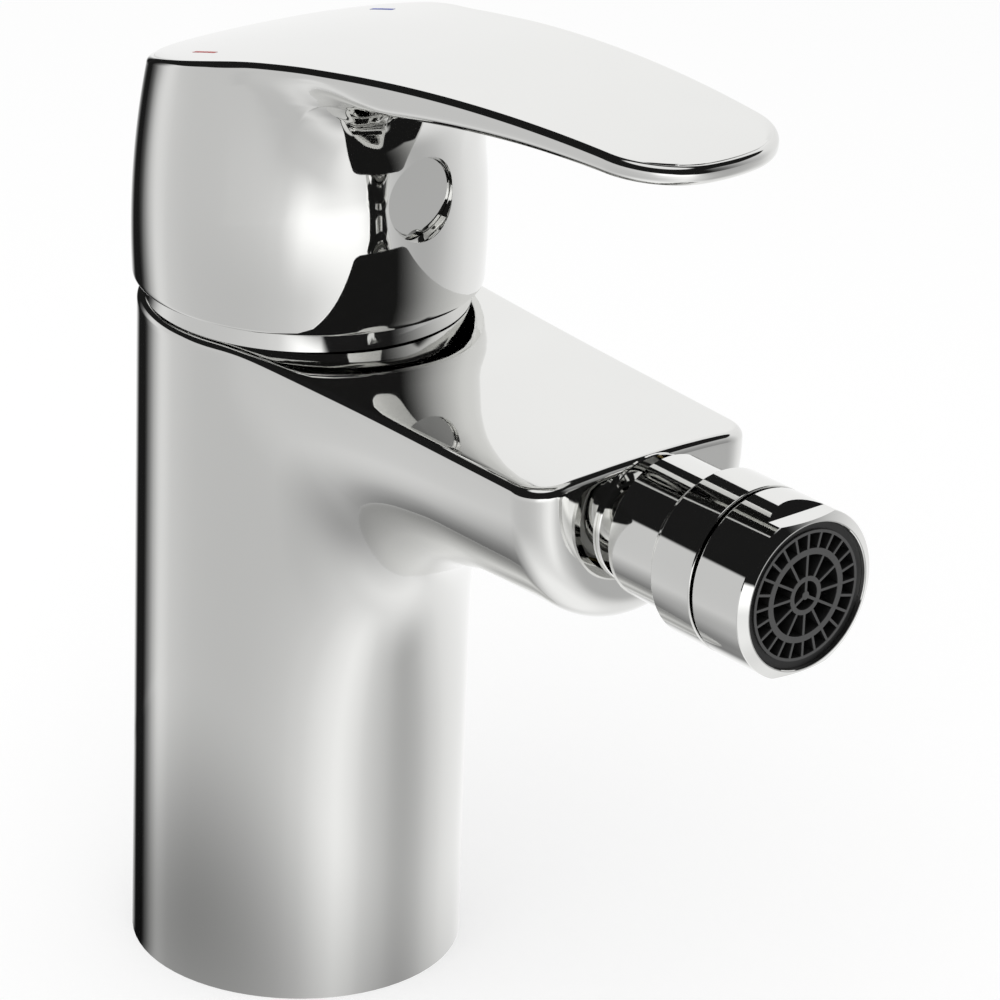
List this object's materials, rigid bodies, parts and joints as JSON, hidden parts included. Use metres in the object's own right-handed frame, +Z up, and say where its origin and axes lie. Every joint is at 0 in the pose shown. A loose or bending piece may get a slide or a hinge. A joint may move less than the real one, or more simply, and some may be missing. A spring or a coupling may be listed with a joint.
{
  "type": "bidet mixer",
  "caption": "Single lever bidet mixer on a round column, with a flat topped spout, a swivelling ball jointed aerator nozzle and a ceramic cartridge inside.",
  "frame": {"origin": "on the axis of the column, in the plane of the base that stands on the deck", "axes": "+Z up along the column, +X along the spout towards the nozzle, +Y to the right of a person facing the spout"},
  "size_m": [0.1332, 0.0518, 0.1523],
  "materials": {
    "chrome": "polished plating",
    "brass": "machined",
    "steel": "turned",
    "rubber": "matt",
    "white_plastic": "moulded",
    "grey_plastic": "moulded",
    "black_plastic": "moulded",
    "ceramic": "ground ceramic",
    "red_mark": "enamel",
    "blue_mark": "enamel"
  },
  "bodies": {
    "body": {"body_casting": "chrome", "base_gasket": "rubber", "cartridge_base": "white_plastic", "port_seals": "rubber", "fixed_disc": "ceramic", "cartridge_housing": "grey_plastic", "cartridge_nut": "brass", "cover_ring": "chrome", "ball_nipple": "chrome", "nipple_seal": "rubber"},
    "mixing_rotor": {"rotor": "white_plastic", "hinge_pin": "steel"},
    "disc_slider": {"disc_carrier": "white_plastic", "moving_disc": "ceramic"},
    "lever": {"lever_handle": "chrome", "lever_stem": "steel", "stem_sleeve": "white_plastic", "grub_screw": "steel", "screw_plug": "chrome", "hot_mark": "red_mark", "cold_mark": "blue_mark"},
    "ball_ring": {"ball_seat": "white_plastic"},
    "nozzle": {"swivel_socket": "chrome", "socket_seal": "rubber", "ball_retainer": "brass", "aerator_ring": "chrome", "aerator_insert": "black_plastic", "aerator_strainer": "steel", "aerator_washer": "rubber"}
  },
  "joints": [
    {"name": "temperature_turn", "type": "hinge", "parent": "body", "child": "mixing_rotor", "pos_m": [0, 0, 0.08785], "axis": [0, 0, 1], "range_deg": [-45, 45]},
    {"name": "flow_lift", "type": "hinge", "parent": "mixing_rotor", "child": "lever", "pos_m": [0, 0, 0.08785], "axis": [0, -1, 0], "range_deg": [0, 25]},
    {"name": "disc_slide", "type": "slide", "parent": "mixing_rotor", "child": "disc_slider", "axis": [1, 0, 0], "range_m": [0, 0.00524]},
    {"name": "nozzle_swing", "type": "hinge", "parent": "body", "child": "ball_ring", "pos_m": [0.084, 0, 0.0946], "axis": [0, 0, 1], "range_deg": [-12, 12]},
    {"name": "nozzle_tilt", "type": "hinge", "parent": "ball_ring", "child": "nozzle", "pos_m": [0.084, 0, 0.0946], "axis": [0, 1, 0], "range_deg": [-12, 12]}
  ],
  "couplings": [
    {"joint": "disc_slide", "follows": "flow_lift", "m_per_rad": 0.012}
  ]
}
